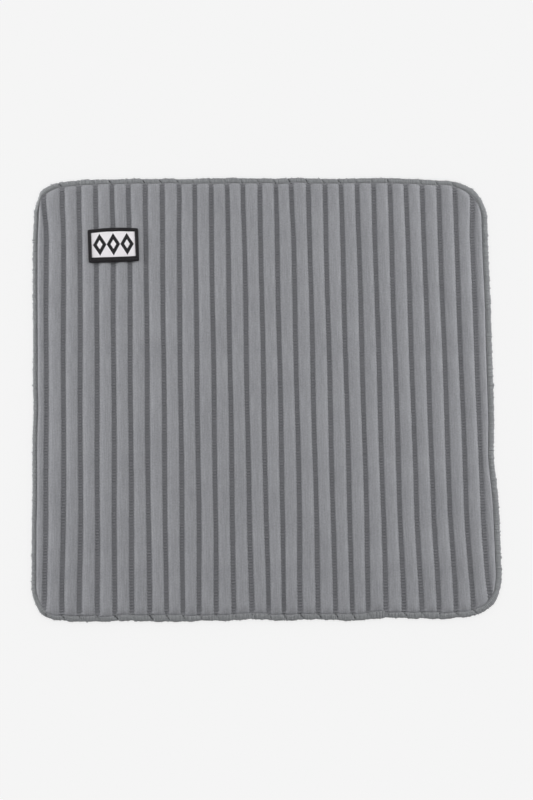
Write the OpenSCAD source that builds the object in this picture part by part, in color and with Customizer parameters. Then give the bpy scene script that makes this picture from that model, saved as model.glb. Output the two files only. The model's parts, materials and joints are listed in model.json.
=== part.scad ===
// Channel-quilted wrap pad: two knitted layers over padded strips, sewn together in grooves.
// X runs across the ribs, Y along them, Z up through the face. The pad lies on its back at Z = 0.

/* [Pad] */
// Length of the pad along its ribs
pad_h = 440; // [300:5:600]
// Radius of the four corners
corner_r = 40; // [30:1:48]
// Thickness over a rib, from back to face
pad_t = 7; // [6:0.1:10]
// Thickness of one knitted layer
knit_t = 1; // [0.6:0.05:1.2]

/* [Ribs] */
// Distance from one stitched groove to the next
rib_pitch = 16.25; // [14:0.25:22]
// Distance from the outermost groove to the side edge
edge_rib_w = 13.75; // [12.5:0.25:18]
// Width of a stitched groove
groove_w = 4.6; // [4:0.1:6]
// Rounding of a rib's shoulders
shoulder_r = 2.2; // [1.6:0.1:2.4]
// Number of ribs between two folding grooves
ribs_per_panel = 3; // [2:1:5]
// Play between a filler strip and the knit round it
filler_play = 0.15; // [0.05:0.05:0.4]

/* [Rim] */
// Width of the flat rim, from the edge to where the ribs begin to rise
rim_w = 6; // [5:0.25:9]
// Width over which the ribs rise from the rim to full thickness
rise_w = 9; // [6:0.5:14]
// Width of the overlocked edge
overlock_w = 4.5; // [3.5:0.1:5]
// Thickness of the overlocked edge
overlock_t = 4; // [3.4:0.1:5]
// Rounding of the overlocked edge
overlock_r = 1.6; // [0.8:0.1:1.7]
// Thread outside the cut edge of the knit
overlock_wrap = 1.4; // [1:0.1:2]
// Play between the overlock and the knit that it wraps
overlock_play = 0.1; // [0.05:0.05:0.2]

/* [Seams] */
// Diameter of the thread bundle in a folding groove
fold_thread_d = 1.8; // [1.2:0.1:2]
// Play round the thread in a folding groove
fold_play = 0.3; // [0.2:0.05:0.5]
// Gap between two overlock pieces at a folding groove
overlock_gap = 1.8; // [1.6:0.1:2.2]
// Width of the ladder stitch in the other grooves
ladder_w = 3.6; // [2.4:0.1:3.8]
// Thickness of the ladder stitch
ladder_t = 0.6; // [0.3:0.05:1]

/* [Label] */
// Width of the label
label_w = 49; // [40:0.5:60]
// Height of the label
label_h = 33.5; // [24:0.5:45]
// Distance from the pad's top edge to the label's top edge
label_drop = 53.5; // [40:0.5:120]
// Distance of the label's middle to the right of the middle of its panel
label_shift = 1; // [-2:0.25:2]
// Thickness of the label's woven ground
label_t = 0.8; // [0.5:0.1:1.5]
// Width of the label's raised border
border_w = 2.8; // [2:0.1:4]
// Height of the border above the woven ground
border_t = 0.7; // [0.4:0.1:1.2]
// Play between the label and the ribs under it
label_play = 0.1; // [0.05:0.05:0.3]
// Length of one stitch that holds the label
stitch_l = 2.4; // [1.6:0.1:3]
// Distance from one such stitch to the next
stitch_pitch = 3.2; // [3:0.1:5]
// Width of such a stitch
stitch_w = 0.6; // [0.4:0.1:1]
// Height of such a stitch
stitch_t = 0.3; // [0.2:0.05:0.5]

/* [Hidden] */
$fn = 64;
// The label sits on the second panel, counted from the left
panel_count = 9;
label_panel = 2;
panels = [1 : panel_count];
label_ribs = max(ribs_per_panel, ceil((label_w + groove_w) / rib_pitch));
rib_count = ribs_per_panel * (panel_count - 1) + label_ribs;
groove_count = rib_count - 1;
pad_w = (groove_count - 1) * rib_pitch + 2 * edge_rib_w;
mid_z = pad_t / 2;
fold_r = fold_thread_d / 2 + fold_play;
knit_inset = overlock_wrap + overlock_play;
core_r = shoulder_r / 2;
run_x = pad_w / 2 - corner_r;
run_y = pad_h / 2 - corner_r;
label_corner_r = border_w / 4;
label_z = pad_t + label_play;
label_y = pad_h / 2 - label_drop - label_h / 2;

knit_grey = [0.55, 0.56, 0.58];
thread_grey = [0.38, 0.39, 0.41];
overlock_grey = [0.48, 0.49, 0.50];
foam_white = [0.86, 0.86, 0.84];
label_white = [0.92, 0.91, 0.92];
label_black = [0.10, 0.10, 0.11];

// Ribs and grooves count from the left; groove k lies between ribs k and k + 1
function groove_x(k) = (k - (groove_count + 1) / 2) * rib_pitch;
function last_rib(p) = ribs_per_panel * p + (p < label_panel ? 0 : label_ribs - ribs_per_panel);
function first_rib(p) = p == 1 ? 1 : last_rib(p - 1) + 1;

// Sides of a rib at the grooves beside it; an outer rib runs on to the pad's edge
function rib_left(k) = k == 1 ? -pad_w / 2 : groove_x(k - 1) + groove_w / 2;
function rib_right(k) = k == rib_count ? pad_w / 2 : groove_x(k) - groove_w / 2;

// Sides of a panel, moved in from the folding grooves by the given gap
function panel_left(p, gap) = p == 1 ? -pad_w / 2 : groove_x(last_rib(p - 1)) + gap;
function panel_right(p, gap) = p == panel_count ? pad_w / 2 : groove_x(last_rib(p)) - gap;
label_x = (panel_left(label_panel, 0) + panel_right(label_panel, 0)) / 2 + label_shift;

// Half the length of the seam in groove k, of the given width, which ends at the rim
function seam_half(k, width) =
    let (past = abs(groove_x(k)) + width / 2 - run_x, rim_r = corner_r - rim_w)
    run_y + (past > 0 ? sqrt(rim_r * rim_r - past * past) : rim_r);

// Rectangle with round corners, by its left, right, lower and upper sides
module round_box(left, right, low, high, r) {
    translate([left + r, low])
        square([right - left - 2 * r, high - low]);
    translate([left, low + r])
        square([right - left, high - low - 2 * r]);
    for (x = [left + r, right - r], y = [low + r, high - r])
        translate([x, y])
            circle(r);
}

// A cross-section in X and Z, carried along the ribs over the given length
module along_ribs(length) {
    rotate([90, 0, 0])
        linear_extrude(length, center = true)
            children();
}

// The pad's edge in section, outwards from a corner's centre and up from the middle plane.
// Outer skin of the knit: full thickness, down the rise, then flat along the rim
module skin_section() {
    rim_r = corner_r - rim_w;
    cut_r = corner_r - knit_inset;
    polygon([
        [0, -mid_z],
        [rim_r - rise_w, -mid_z],
        [rim_r, -knit_t],
        [cut_r, -knit_t],
        [cut_r, knit_t],
        [rim_r, knit_t],
        [rim_r - rise_w, mid_z],
        [0, mid_z]]);
}

// Space inside the knit, closed where the two layers meet, and drawn in by the given play
module core_section(play) {
    half_t = mid_z - knit_t;
    full_r = corner_r - rim_w - rise_w;
    polygon([
        [0, play - half_t],
        [full_r, play - half_t],
        [full_r + rise_w * (1 - play / half_t), 0],
        [full_r, half_t - play],
        [0, half_t - play]]);
}

// Overlock thread: a round-edged band with a slot for the cut edge of both layers
module overlock_section() {
    slot_t = 2 * (knit_t + overlock_play);
    difference() {
        round_box(corner_r - overlock_w, corner_r, -overlock_t / 2, overlock_t / 2, overlock_r);
        translate([0, -slot_t / 2])
            square([corner_r - overlock_wrap, slot_t]);
    }
}

// A section carried once round the pad: quarter turns at the corners, straight runs between them
module round_edge() {
    for (side = [-1, 1]) {
        translate([side * run_x, 0, mid_z])
            rotate([90, 0, side < 0 ? 180 : 0])
                linear_extrude(2 * run_y, center = true)
                    children();
        translate([0, side * run_y, mid_z])
            rotate([90, 0, side * 90])
                linear_extrude(2 * run_x, center = true)
                    children();
    }
    for (turn = [0 : 3])
        translate([(turn % 3 == 0 ? 1 : -1) * run_x, (turn < 2 ? 1 : -1) * run_y, mid_z])
            rotate([0, 0, turn * 90])
                rotate_extrude(angle = 90)
                    children();
}

// A whole pillow with the given edge section, filled to the given half thickness
module pillow(half_t) {
    round_edge()
        children();
    translate([-run_x, -run_y, mid_z - half_t])
        cube([2 * run_x, 2 * run_y, 2 * half_t]);
}

// Everything between two sides in X and two heights in Z
module slab(left, right, low, high) {
    translate([left, -pad_h / 2, low])
        cube([right - left, pad_h, high - low]);
}

// Both knitted layers of one panel, with a hollow channel in each rib
module quilted_knit(p) {
    difference() {
        intersection() {
            along_ribs(pad_h) {
                translate([panel_left(p, fold_r), mid_z - knit_t])
                    square([panel_right(p, fold_r) - panel_left(p, fold_r), 2 * knit_t]);
                for (k = [first_rib(p) : last_rib(p)])
                    round_box(rib_left(k), rib_right(k), 0, pad_t, shoulder_r);
            }
            pillow(mid_z)
                skin_section();
        }
        rib_cores(p, 0);
    }
}

// The channels of one panel's ribs, drawn in by the given play
module rib_cores(p, play) {
    wall = knit_t + play;
    intersection() {
        along_ribs(pad_h)
            for (k = [first_rib(p) : last_rib(p)])
                round_box(rib_left(k) + wall, rib_right(k) - wall, wall, pad_t - wall, core_r);
        pillow(mid_z - wall)
            core_section(play);
    }
}

// Front layer of the knit, above the middle plane
module face_knit(p) {
    color(knit_grey)
        intersection() {
            quilted_knit(p);
            slab(-pad_w / 2, pad_w / 2, mid_z, pad_t);
        }
}

// Rear layer of the knit, below the middle plane, on which the pad lies
module back_knit(p) {
    color(knit_grey)
        intersection() {
            quilted_knit(p);
            slab(-pad_w / 2, pad_w / 2, 0, mid_z);
        }
}

// One soft strip in each channel of a panel
module filler_strips(p) {
    color(foam_white)
        rib_cores(p, filler_play);
}

// Ladder stitch on both faces of each groove in a panel, and the round thread of its right-hand fold
module quilt_seams(p) {
    color(thread_grey) {
        for (k = [first_rib(p) : 1 : last_rib(p) - 1], low = [mid_z + knit_t, mid_z - knit_t - ladder_t])
            translate([groove_x(k), 0, low + ladder_t / 2])
                cube([ladder_w, 2 * seam_half(k, ladder_w), ladder_t], center = true);
        if (p < panel_count)
            translate([groove_x(last_rib(p)), 0, mid_z])
                rotate([90, 0, 0])
                    cylinder(d = fold_thread_d, h = 2 * seam_half(last_rib(p), fold_thread_d), center = true);
    }
}

// Overlock round the rim of one panel
module edge_overlock(p) {
    gap = overlock_gap / 2;
    color(overlock_grey)
        intersection() {
            round_edge()
                overlock_section();
            slab(panel_left(p, gap), panel_right(p, gap), 0, pad_t);
        }
}

// Outline of the label, drawn in by the given distance
module label_outline(inset) {
    half_w = label_w / 2 - inset;
    half_h = label_h / 2 - inset;
    translate([label_x, label_y])
        round_box(-half_w, half_w, -half_h, half_h, label_corner_r);
}

// Woven ground of the label
module label_base() {
    color(label_white)
        translate([0, 0, label_z])
            linear_extrude(label_t)
                label_outline(0);
}

// Raised border round the label
module label_border() {
    color(label_black)
        translate([0, 0, label_z + label_t])
            linear_extrude(border_t)
                difference() {
                    label_outline(0);
                    label_outline(border_w);
                }
}

// A row of stitches, centred, of as many as the given length holds
module stitch_row(length) {
    count = floor(length / stitch_pitch);
    for (i = [0 : count - 1])
        translate([(i - (count - 1) / 2) * stitch_pitch, 0])
            square([stitch_l, stitch_w], center = true);
}

// Stitches along the middle of the label's border
module label_stitching() {
    color(label_black)
        translate([label_x, label_y, label_z + label_t + border_t])
            linear_extrude(stitch_t)
                for (side = [-1, 1]) {
                    translate([0, side * (label_h - border_w) / 2])
                        stitch_row(label_w - 2 * border_w);
                    translate([side * (label_w - border_w) / 2, 0])
                        rotate(90)
                            stitch_row(label_h - 2 * border_w);
                }
}

for (p = panels) {
    face_knit(p);
    back_knit(p);
    filler_strips(p);
    quilt_seams(p);
    edge_overlock(p);
}
label_base();
label_border();
label_stitching();
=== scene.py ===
# %% [markdown]
# # A channel-quilted wrap pad
# The object is a soft, flat, nearly square pad. Two layers of grey knit are sewn together along 27 grooves,
# so that 28 narrow padded ribs stand up between them. Overlock thread wraps the edge, and a small woven label
# is sewn on near one corner. The CAD frame gives the sizes and the eight folds, and this file dresses it.

# %% Load the frame
import json
import math
import bpy
import numpy as np
from mathutils import Matrix, Vector


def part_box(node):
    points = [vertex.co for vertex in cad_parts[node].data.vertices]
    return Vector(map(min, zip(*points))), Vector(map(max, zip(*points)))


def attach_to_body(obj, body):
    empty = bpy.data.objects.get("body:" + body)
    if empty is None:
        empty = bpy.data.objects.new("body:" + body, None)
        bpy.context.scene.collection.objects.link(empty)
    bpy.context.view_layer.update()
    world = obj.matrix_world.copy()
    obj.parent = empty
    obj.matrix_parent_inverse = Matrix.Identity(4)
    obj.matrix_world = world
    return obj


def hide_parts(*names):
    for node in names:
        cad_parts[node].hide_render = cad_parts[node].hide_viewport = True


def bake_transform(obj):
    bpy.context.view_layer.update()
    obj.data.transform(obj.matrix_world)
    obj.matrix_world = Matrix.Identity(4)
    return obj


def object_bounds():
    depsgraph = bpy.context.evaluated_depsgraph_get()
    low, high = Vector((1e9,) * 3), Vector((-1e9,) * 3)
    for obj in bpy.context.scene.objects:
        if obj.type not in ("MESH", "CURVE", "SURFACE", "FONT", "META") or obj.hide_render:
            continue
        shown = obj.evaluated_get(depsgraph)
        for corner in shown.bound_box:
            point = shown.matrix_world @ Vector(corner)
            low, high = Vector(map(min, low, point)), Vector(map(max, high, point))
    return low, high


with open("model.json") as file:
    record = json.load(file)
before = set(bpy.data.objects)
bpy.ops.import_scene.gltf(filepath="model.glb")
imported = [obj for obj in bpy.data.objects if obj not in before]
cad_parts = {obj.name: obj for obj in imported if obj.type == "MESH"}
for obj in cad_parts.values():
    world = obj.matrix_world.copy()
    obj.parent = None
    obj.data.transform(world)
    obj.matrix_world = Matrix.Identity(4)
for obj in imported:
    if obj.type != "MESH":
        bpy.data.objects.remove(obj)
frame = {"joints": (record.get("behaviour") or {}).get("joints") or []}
cad_low, cad_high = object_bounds()

# %% [markdown]
# ## Measures that every piece shares
# All lengths are in metres. The frame says where the folds are, and all other grooves follow from them,
# because folds two to eight stand three ribs apart. The middle height is the plane in which the two layers
# of knit meet, halfway between the table and the crowns of the ribs.

# %% Grooves and folds
MM = 0.001
RIBS_A_PANEL = 3
FOLD_X = sorted(joint["pos_m"][0] for joint in frame["joints"])
MID_Z = frame["joints"][0]["pos_m"][2]
RIB_PITCH = (FOLD_X[-1] - FOLD_X[1]) / (RIBS_A_PANEL * (len(FOLD_X) - 2))
MIDDLE_GROOVE = 14
RIB_COUNT = 2 * MIDDLE_GROOVE
HALF_W, HALF_H = cad_high.x, cad_high.y
FOLD_GROOVES = [round(x / RIB_PITCH) + MIDDLE_GROOVE for x in FOLD_X]


def groove_x(number):
    """Centre line of a groove: its number, counted from the middle one, times the pitch."""
    return (number - MIDDLE_GROOVE) * RIB_PITCH


print("pitch", round(RIB_PITCH / MM, 2), "mm, folds at grooves", FOLD_GROOVES)

# %% [markdown]
# ## The regions of the pad
# A blended piece can cross only one fold, so the pad is cut at grooves into seventeen regions that meet edge
# to edge. A region is either stiff, and rides on one panel, or it is the two ribs beside a fold. Such a
# region is given the span where it would bend from one panel to the next, and under the label that span stops
# early, but here its pieces are only fixed in place and do not bend.

# %% Cut the pad into regions
LABEL_LOW, LABEL_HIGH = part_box("label_base")


def panel(number):
    """Name of the CAD body of a panel, counted from the left."""
    return f"panel_{number}"


def stiff_region(number, first, last):
    """Ribs first to last of one panel, which don't bend."""
    return {"name": panel(number), "ribs": (first, last), "bodies": (number,)}


def bent_region(number, groove):
    """The rib on each side of a fold; the bend runs between the grooves next to them, or to the label."""
    start, end = groove_x(groove - 1), groove_x(groove + 1)
    if start < LABEL_LOW.x < end:
        end = LABEL_LOW.x
    if start < LABEL_HIGH.x < end:
        start = LABEL_HIGH.x
    return {"name": f"fold_{number}", "ribs": (groove, groove + 1), "bodies": (number, number + 1),
            "bend": (start, end)}


REGIONS = []
next_rib = 1
for number, groove in enumerate(FOLD_GROOVES, start=1):
    REGIONS.append(stiff_region(number, next_rib, groove - 1))
    REGIONS.append(bent_region(number, groove))
    next_rib = groove + 2
REGIONS.append(stiff_region(len(FOLD_GROOVES) + 1, next_rib, RIB_COUNT))


def attach(piece, region, slot, *nodes):
    """Hide the CAD nodes that a piece stands for on each body of its region, and fix the piece in place:
    parented to its panel if the region is stiff, else with its transform applied. The slot is not used.
    """
    for body in region["bodies"]:
        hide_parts(*[f"{node}_{body}" for node in nodes])
    if "bend" not in region:
        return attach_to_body(piece, panel(region["bodies"][0]))
    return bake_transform(piece)


print(len(REGIONS), "regions:", [region["ribs"] for region in REGIONS])

# %% [markdown]
# ## Camera and light
# The photograph is taken from almost straight above, with a long lens. Its camera was found by fitting the
# grooves and the outline. Two wide soft lamps stand left and right, a little towards the upper edge, because
# the left flanks of the ribs are bright on the left half and the right flanks on the right half. They leave
# the floor out, so that it stays even. The rest is even light from the world.

# %% Camera
CAMERA_LEAN = math.radians(12.81)
CAMERA_YAW = math.radians(-15.36)
CAMERA_ROLL = math.radians(14.62)
CAMERA_AIM = Vector((2.93, -5.33, 0)) * MM
CAMERA_RANGE = 2.276
CAMERA_LENS = 105

turned = (Matrix.Rotation(CAMERA_YAW, 4, "Z") @ Matrix.Rotation(CAMERA_LEAN, 4, "X")
          @ Matrix.Rotation(CAMERA_ROLL, 4, "Z"))
lens = bpy.data.cameras.new("photo_camera")
lens.lens = CAMERA_LENS
camera = bpy.data.objects.new("photo_camera", lens)
camera.matrix_world = Matrix.Translation(CAMERA_AIM) @ turned @ Matrix.Translation((0, 0, CAMERA_RANGE))
bpy.context.scene.collection.objects.link(camera)
bpy.context.scene.camera = camera
print("camera at", [round(value, 3) for value in camera.matrix_world.translation])

# %% Lamps
LAMP_ASIDE, LAMP_ALONG, LAMP_UP = 1.55, 0.42, 0.45
LAMP_SIZE = 0.8
LAMPS = (("lamp_left", -LAMP_ASIDE, 27.0), ("lamp_right", LAMP_ASIDE, 28.5))
unlit = bpy.data.collections.new("not_lit_by_lamps")

for name, aside, watts in LAMPS:
    light = bpy.data.lights.new(name, "AREA")
    light.energy = watts
    light.size = LAMP_SIZE
    lamp = bpy.data.objects.new(name, light)
    lamp.location = (aside, LAMP_ALONG, LAMP_UP)
    lamp.rotation_euler = (-lamp.location).to_track_quat("-Z", "Y").to_euler()
    lamp.light_linking.receiver_collection = unlit
    bpy.context.scene.collection.objects.link(lamp)

print("lamps:", LAMPS)

# %% World
WORLD_LIGHT = 0.43
BACKDROP = 0.913


def math_node(tree, operation, first, second=None):
    """A Math node fed by sockets or by plain numbers; gives its output socket."""
    node = tree.nodes.new("ShaderNodeMath")
    node.operation = operation
    for socket, value in enumerate((first, second)):
        if isinstance(value, (int, float)):
            node.inputs[socket].default_value = value
        elif value is not None:
            tree.links.new(value, node.inputs[socket])
    return node.outputs[0]


def seen_directly(tree):
    """1 for camera rays and for what mirrors and glass show, 0 for the light that falls on things."""
    path = tree.nodes.new("ShaderNodeLightPath")
    shown = math_node(tree, "MAXIMUM", path.outputs["Is Camera Ray"], path.outputs["Is Glossy Ray"])
    return math_node(tree, "MAXIMUM", shown, path.outputs["Is Transmission Ray"])


world = bpy.data.worlds.new("even_light")
world.use_nodes = True
sky = world.node_tree
strength = math_node(sky, "MULTIPLY", seen_directly(sky), BACKDROP - WORLD_LIGHT)
sky.links.new(math_node(sky, "ADD", strength, WORLD_LIGHT), sky.nodes["Background"].inputs["Strength"])
sky.nodes["Background"].inputs["Color"].default_value = (1, 1, 1, 1)
bpy.context.scene.world = world
bpy.context.scene.view_settings.view_transform = "Standard"
print("world", WORLD_LIGHT, "on the pad,", BACKDROP, "behind it")

# %% [markdown]
# ## Small tools for meshes
# A grid of points becomes a mesh by joining each point to its neighbours. Threads are tubes: a ring of points
# is carried along a path. Curves with a bevel would do as well, but arrays give thousands of threads at once,
# as one light mesh that can bend.


# %% Steps and bell curves
def ramp(t):
    """Smooth step from 0 to 1 with flat ends: three t squared minus two t cubed."""
    t = np.clip(t, 0, 1)
    return t * t * (3 - 2 * t)


def rise(value, start, over):
    """Smooth step that leaves 0 at `start` and reaches 1 a stretch `over` further on."""
    return ramp((value - start) / over)


def bump_at(value, middle, width):
    """Bell curve, 1 at its middle: e to the minus square of the distance in widths."""
    return np.exp(-(((value - middle) / width) ** 2))


# %% Grids and meshes
def grid_quads(rows, columns, closed=False):
    """Corner numbers of the quads of a grid of points, row by row. A closed grid joins its last column to
    the first."""
    row = np.arange(rows - 1)[:, None]
    column = np.arange(columns if closed else columns - 1)[None, :]
    after = (column + 1) % columns
    quads = np.stack(np.broadcast_arrays(row * columns + column, row * columns + after,
                                         (row + 1) * columns + after, (row + 1) * columns + column), -1)
    return quads.reshape(-1, 4)


def there_and_back(over, under):
    """Rows that run along one grid and return along another, so that a shell can be closed round them."""
    return np.concatenate([over, under[:, ::-1]], 1)


def shell_faces(rows, columns):
    """Faces of a closed shell whose rows run there and back: the wrapped grid, and a strip of quads that
    closes each end."""
    around = 2 * columns
    face = np.arange(columns - 1)
    under = around - 1 - face
    low = np.stack([face, under, under - 1, face + 1], -1)
    high = low[:, ::-1] + (rows - 1) * around
    return [np.concatenate([grid_quads(rows, around, closed=True), low, high])]


def put_mesh(name, material, points, faces, uv, crease=None):
    """A mesh object from arrays of points, faces and texture places. The faces come as a few arrays, one for
    each kind of face, and crease is the angle from which an edge stays sharp."""
    mesh = bpy.data.meshes.new(name)
    mesh.from_pydata(points.reshape(-1, 3).tolist(), [], [face for kind in faces for face in kind.tolist()])
    mesh.polygons.foreach_set("use_smooth", np.ones(len(mesh.polygons), bool))
    corners = np.empty(len(mesh.loops), np.int32)
    mesh.loops.foreach_get("vertex_index", corners)
    layer = mesh.uv_layers.new(name="cloth")
    layer.data.foreach_set("uv", uv.reshape(-1, 2)[corners].ravel())
    if crease is not None:
        mesh.set_sharp_from_angle(angle=crease)
    mesh.materials.append(material)
    piece = bpy.data.objects.new(name, mesh)
    bpy.context.scene.collection.objects.link(piece)
    return piece


# %% Threads
ALONG_X, ALONG_Y = np.array([1.0, 0, 0]), np.array([0.0, 1, 0])


def thread_tubes(paths, across, radius, sides, flat=1.0):
    """Closed tubes round many paths: at each point a ring, its first direction the part of `across` that is
    square to the path, its second square to both and flattened. Gives points, faces and texture places."""
    ahead = np.gradient(paths, axis=1)
    ahead /= np.linalg.norm(ahead, axis=-1, keepdims=True)
    side = across - (across * ahead).sum(-1, keepdims=True) * ahead
    side /= np.linalg.norm(side, axis=-1, keepdims=True)
    lift = np.cross(ahead, side)
    turn = np.arange(sides) * 2 * math.pi / sides
    ring = side[..., None, :] * np.cos(turn)[:, None] + flat * lift[..., None, :] * np.sin(turn)[:, None]
    radius = np.broadcast_to(radius, paths.shape[:2])[..., None, None]
    points = paths[:, :, None, :] + radius * ring
    count, length = paths.shape[:2]
    start = (np.arange(count) * length * sides)[:, None, None]
    quads = (start + grid_quads(length, sides, closed=True)[None]).reshape(-1, 4)
    first_ring = start[:, 0] + np.arange(sides)[::-1]
    last_ring = start[:, 0] + (length - 1) * sides + np.arange(sides)
    run = np.cumsum(np.linalg.norm(np.diff(paths, axis=1, prepend=paths[:, :1]), axis=-1), axis=1)
    uv = np.stack(np.broadcast_arrays(np.arange(sides) / sides * MM, run[:, :, None]), -1)
    return points, [quads, first_ring, last_ring], uv


def joined(*parts):
    """Several lots of points, faces and texture places as one lot, with the corner numbers moved on."""
    points, faces, uvs = [], [], []
    count = 0
    for part_points, part_faces, part_uv in parts:
        points.append(part_points.reshape(-1, 3))
        faces.extend(kind + count for kind in part_faces)
        uvs.append(part_uv.reshape(-1, 2))
        count += len(points[-1])
    return np.concatenate(points), faces, np.concatenate(uvs)


# %% [markdown]
# ## The outline
# The pad is a rectangle with round corners, and hand sewing has made each corner a little different.
# The distance from the edge is what shapes the rim: the overlock lies on its first few millimetres, then the
# needle line draws the two layers together, and then the ribs rise. So the outline is a formula for that
# distance, which any point can ask for, and not a drawn curve.

# %% Outline of the fabric
RIM_INSET = 0.65 * MM
TOP_LEFT_R, TOP_RIGHT_R, LOW_LEFT_R, LOW_RIGHT_R = 39 * MM, 41 * MM, 33 * MM, 41 * MM
EDGE_X, EDGE_Y = HALF_W - RIM_INSET, HALF_H - RIM_INSET


def corner_radius(x, y):
    """Radius of the corner that a point belongs to."""
    upper = np.where(x < 0, TOP_LEFT_R, TOP_RIGHT_R)
    lower = np.where(x < 0, LOW_LEFT_R, LOW_RIGHT_R)
    return np.where(y > 0, upper, lower)


def edge_depth(x, y):
    """Distance from the edge of a rectangle with round corners, positive inside: the radius, less the
    distance past the corner's centre, or less the larger of the two gaps where there is no corner."""
    radius = corner_radius(x, y)
    past_x = np.abs(x) - (EDGE_X - radius)
    past_y = np.abs(y) - (EDGE_Y - radius)
    in_corner = np.hypot(np.maximum(past_x, 0), np.maximum(past_y, 0))
    return radius - in_corner - np.minimum(np.maximum(past_x, past_y), 0)


def edge_y(x, side):
    """Height of the upper (side 1) or lower (side -1) edge at x: straight, then a quarter circle."""
    radius = corner_radius(x, side * np.ones_like(x))
    past = np.maximum(np.abs(x) - (EDGE_X - radius), 0)
    return side * (EDGE_Y - radius + np.sqrt(np.maximum(radius**2 - past**2, 0)))


# %% Walks round an outline
ARC_STEPS = 60


def rounded_walk(spacing, half_x, half_y, radii):
    """Points a fixed spacing apart round a rectangle with round corners, clockwise from the top right, with
    the outward directions: four quarter circles and the lines between, laid out finely and cut by length."""
    turn = np.linspace(0, math.pi / 2, ARC_STEPS)
    corners = ((1, 1, math.pi / 2), (1, -1, 0), (-1, -1, -math.pi / 2), (-1, 1, math.pi))
    line, out = [], []
    for (sx, sy, begin), radius in zip(corners, radii):
        direction = np.stack([np.cos(begin - turn), np.sin(begin - turn)], -1)
        line.append(np.array([sx * (half_x - radius), sy * (half_y - radius)]) + radius * direction)
        out.append(direction)
    line, out = np.concatenate(line + [line[0][:1]]), np.concatenate(out + [out[0][:1]])
    length = np.concatenate([[0], np.cumsum(np.linalg.norm(np.diff(line, axis=0), axis=1))])
    count = int(length[-1] / spacing)
    at = np.arange(count) * length[-1] / count
    point = np.stack([np.interp(at, length, line[:, axis]) for axis in range(2)], -1)
    normal = np.stack([np.interp(at, length, out[:, axis]) for axis in range(2)], -1)
    return point, normal / np.linalg.norm(normal, axis=-1, keepdims=True)


def outline_walk(spacing):
    """The same round the pad."""
    return rounded_walk(spacing, EDGE_X, EDGE_Y, (TOP_RIGHT_R, LOW_RIGHT_R, LOW_LEFT_R, TOP_LEFT_R))


print("outline is", round(len(outline_walk(MM)[0]) * MM, 3), "m round")

# %% [markdown]
# ## The quilted surface
# Half the thickness of the pad is one function of x and y. Across a rib it is a flat-topped arch, and in a
# groove it is only the two layers of knit. Near the edge the arch falls steeply to the needle line. A cloth
# simulation could fill the ribs, but a formula keeps them even, and every thread can ask it for its height.
# Face and back are the same function above and below the middle plane.

# %% Band of the overlock
BAND_TOP, BAND_LOW, BAND_LEFT, BAND_RIGHT = 5.2 * MM, 4.2 * MM, 3.75 * MM, 4.95 * MM
NEVER_ZERO = 1e-9
sewing = np.random.default_rng(4)
TOP_STEPS = sewing.normal(0, 0.25 * MM, RIB_COUNT)
LOW_STEPS = sewing.normal(0, 0.6 * MM, RIB_COUNT)


def rib_index(x):
    """Number of the rib at x, from 0 at the left."""
    return np.clip(np.floor(x / RIB_PITCH).astype(int) + MIDDLE_GROOVE, 0, RIB_COUNT - 1)


def band_width(x, y):
    """Width of the overlock band at the edge nearest to a point: the four sides' own widths, mixed by the
    squares of how far the point lies towards each side. Above and below it steps from rib to rib."""
    radius = corner_radius(x, y)
    past_x = np.maximum(np.abs(x) - (EDGE_X - radius), NEVER_ZERO)
    past_y = np.maximum(np.abs(y) - (EDGE_Y - radius), NEVER_ZERO)
    share = past_x**2 / (past_x**2 + past_y**2)
    rib = rib_index(x)
    end = np.where(y > 0, BAND_TOP + TOP_STEPS[rib], BAND_LOW + LOW_STEPS[rib])
    return share * np.where(x < 0, BAND_LEFT, BAND_RIGHT) + (1 - share) * end


# %% Pleats where the grooves run out
PLEAT_LEAN_TOP, PLEAT_LEAN_LOW = -3.2 * MM, 3.4 * MM
PLEAT_HALF = 1.2 * MM
PLEAT_OVERRUN = 1.0 * MM
BULGES = sewing.uniform(0.1 * MM, 1.1 * MM, RIB_COUNT + 1)
PLEAT_DEPTHS = np.random.default_rng(7).uniform(0.5, 1.3, RIB_COUNT + 1)
BULGE_ASIDE, BULGE_INWARD, BULGE_HALF = 2.9 * MM, 1.1 * MM, 1.6 * MM


def from_groove(x):
    """Signed distance from the nearest groove."""
    return x - np.round(x / RIB_PITCH) * RIB_PITCH


def nearest_groove(x):
    """Number of the groove nearest to x, with 0 for the left edge."""
    return np.clip(np.round(x / RIB_PITCH).astype(int) + MIDDLE_GROOVE, 0, RIB_COUNT)


def pleat(x, y, depth, band):
    """How strongly a point lies in a pleat: a bell curve across a line that starts at a groove's end, on the
    needle line, and leans sideways to the edge. Only the upper and lower edges have pleats."""
    lean = np.where(y > 0, PLEAT_LEAN_TOP, PLEAT_LEAN_LOW) * (1 - np.clip(depth / band, 0, 1))
    ends = (np.abs(y) > EDGE_Y - 2 * BAND_LOW) & (depth < band + PLEAT_OVERRUN)
    return ends * PLEAT_DEPTHS[nearest_groove(x)] * bump_at(from_groove(x), lean, PLEAT_HALF)


def bulge(x, y, depth, band):
    """Small swelling of a rib's lower left corner, where the pleat pushes the knit up: a round bell curve."""
    size = np.where(y < 0, BULGES[nearest_groove(x)], 0)
    across = bump_at(from_groove(x), BULGE_ASIDE, BULGE_HALF)
    return size * across * bump_at(depth - band, BULGE_INWARD, BULGE_HALF)


# %% Thickness of the quilting
GROOVE_W = 2.6 * MM
GROOVE_PINCH, GROOVE_FADE = 0.35, 7 * MM
WEB_HALF = 1.0 * MM
CROWN_HALF = MID_Z
ARCH_POWER, ARCH_ROOT = 2.1, 1.05
RISE_TOP, RISE_LOW = 6.0 * MM, 9.0 * MM
STEP_W, STEP_SHARE = 0.6 * MM, 0.35
NEEDLE_DIP, NEEDLE_DIP_W = 0.1 * MM, 0.9 * MM
PLEAT_DIP = 0.6 * MM


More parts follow.
